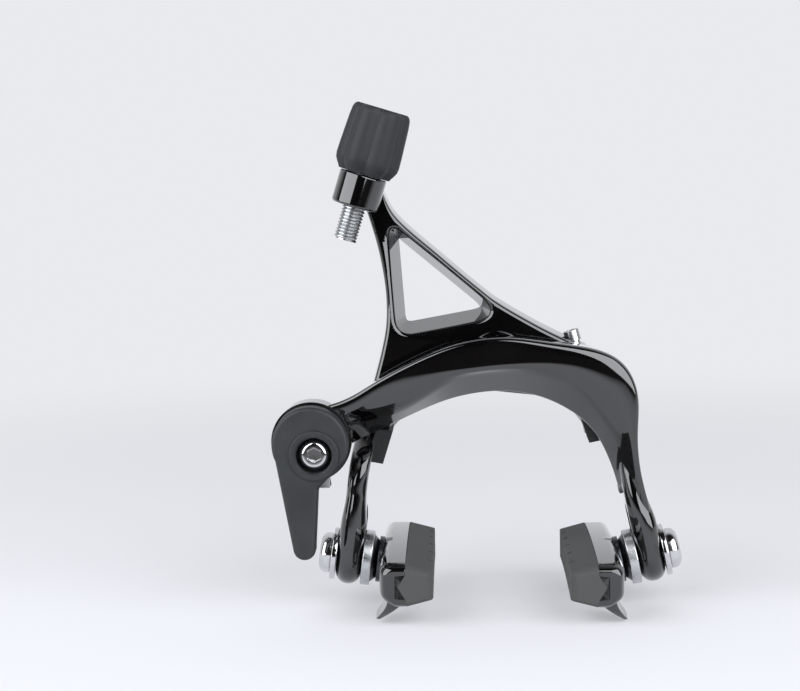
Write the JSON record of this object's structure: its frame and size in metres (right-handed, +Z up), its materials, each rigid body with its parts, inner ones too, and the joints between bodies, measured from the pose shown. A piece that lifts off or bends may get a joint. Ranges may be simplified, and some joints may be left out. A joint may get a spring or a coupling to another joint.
{
  "type": "caliper brake",
  "caption": "Dual-pivot road bicycle caliper brake with quick-release lever, barrel adjuster and height-adjustable cartridge pads.",
  "frame": {"origin": "on the mounting stud's axis at the face that seats on the fork", "axes": "+X to the right seen from the front, +Y back along the mounting stud, +Z up"},
  "size_m": [0.0984, 0.0694, 0.1222],
  "materials": {
    "black_arms": "gloss black",
    "steel_hardware": "bright plated steel",
    "alloy": "bare turned alloy",
    "bush_plastic": "matt dark plastic",
    "grip": "matt dark grip",
    "lever": "matt grey-black lever",
    "chromed": "bright chrome",
    "dark_washers": "satin dark grey",
    "pad_rubber": "matt black rubber"
  },
  "bodies": {
    "pivot_body": {"mounting_stud": "steel_hardware", "serrated_washer": "alloy", "pivot_bracket": "black_arms", "side_bush": "bush_plastic", "centre_thrust_washer": "steel_hardware", "side_thrust_washer": "steel_hardware", "pivot_nut": "steel_hardware", "return_spring": "steel_hardware"},
    "rear_arm": {"rear_arm": "black_arms", "rear_arm_bush": "bush_plastic", "centring_screw": "steel_hardware", "left_spring_guide": "bush_plastic"},
    "front_arm": {"front_arm": "black_arms", "side_pivot_bolt": "steel_hardware", "right_spring_guide": "bush_plastic"},
    "quick_release": {"quick_release_lever": "lever", "eccentric_sleeve": "alloy"},
    "cable_anchor": {"anchor_bolt": "steel_hardware", "anchor_plate": "steel_hardware", "anchor_nut": "steel_hardware", "cable_end_guide": "bush_plastic"},
    "adjuster_knob": {"adjuster_knob": "grip"},
    "adjuster_barrel": {"adjuster_barrel": "alloy"},
    "left_pad_bolt": {"left_pad_bolt": "chromed", "left_outer_washer": "chromed", "left_inner_washer": "chromed", "left_domed_washer": "dark_washers", "left_cupped_washer": "dark_washers"},
    "left_shoe": {"left_pad_holder": "black_arms", "left_brake_pad": "pad_rubber", "left_pad_screw": "chromed"},
    "right_pad_bolt": {"right_pad_bolt": "chromed", "right_outer_washer": "chromed", "right_inner_washer": "chromed", "right_domed_washer": "dark_washers", "right_cupped_washer": "dark_washers"},
    "right_shoe": {"right_pad_holder": "black_arms", "right_brake_pad": "pad_rubber", "right_pad_screw": "chromed"}
  },
  "joints": [
    {"name": "front_arm_pivot", "type": "hinge", "parent": "pivot_body", "child": "front_arm", "pos_m": [0.025, -0.01, -0.006], "axis": [0, 1, 0], "range_deg": [0, 9], "stiffness_Nm_per_rad": 1.2, "springref_deg": -8.59, "deforming": ["return_spring"]},
    {"name": "rear_arm_pivot", "type": "hinge", "parent": "pivot_body", "child": "rear_arm", "pos_m": [0, -0.013, 0], "axis": [0, -1, 0], "range_deg": [0, 8], "stiffness_Nm_per_rad": 1.2, "springref_deg": -8.59, "deforming": ["return_spring"]},
    {"name": "quick_release_turn", "type": "hinge", "parent": "front_arm", "child": "quick_release", "pos_m": [-0.0448, -0.03, -0.018], "axis": [0, 1, 0], "range_deg": [0, 135]},
    {"name": "cable_anchor_turn", "type": "hinge", "parent": "quick_release", "child": "cable_anchor", "pos_m": [-0.04387, -0.03, -0.02043], "axis": [0, 1, 0], "range_deg": [-135, 0]},
    {"name": "adjuster_turn", "type": "hinge", "parent": "rear_arm", "child": "adjuster_knob", "pos_m": [-0.03165, -0.0195, 0.04515], "axis": [0.2974, 0, 0.9548], "range_deg": [0, 2881]},
    {"name": "adjuster_rise", "type": "slide", "parent": "rear_arm", "child": "adjuster_barrel", "axis": [0.2974, 0, 0.9548], "range_m": [0, 0.008]},
    {"name": "left_pad_height", "type": "slide", "parent": "rear_arm", "child": "left_pad_bolt", "axis": [0.1392, 0, 0.9903], "range_m": [0, 0.01]},
    {"name": "left_shoe_angle", "type": "hinge", "parent": "left_pad_bolt", "child": "left_shoe", "pos_m": [-0.0366, -0.02, -0.048], "axis": [-0.9903, 0, 0.1392], "range_deg": [-8, 8]},
    {"name": "right_pad_height", "type": "slide", "parent": "front_arm", "child": "right_pad_bolt", "axis": [-0.2079, 0, 0.9781], "range_m": [0, 0.01]},
    {"name": "right_shoe_angle", "type": "hinge", "parent": "right_pad_bolt", "child": "right_shoe", "pos_m": [0.0366, -0.02, -0.048], "axis": [0.9781, 0, 0.2079], "range_deg": [-8, 8]}
  ],
  "couplings": [
    {"joint": "rear_arm_pivot", "follows": "front_arm_pivot", "ratio": 0.8775},
    {"joint": "cable_anchor_turn", "follows": "quick_release_turn", "ratio": -1},
    {"joint": "adjuster_turn", "follows": "adjuster_rise", "rad_per_m": 6283.2}
  ]
}
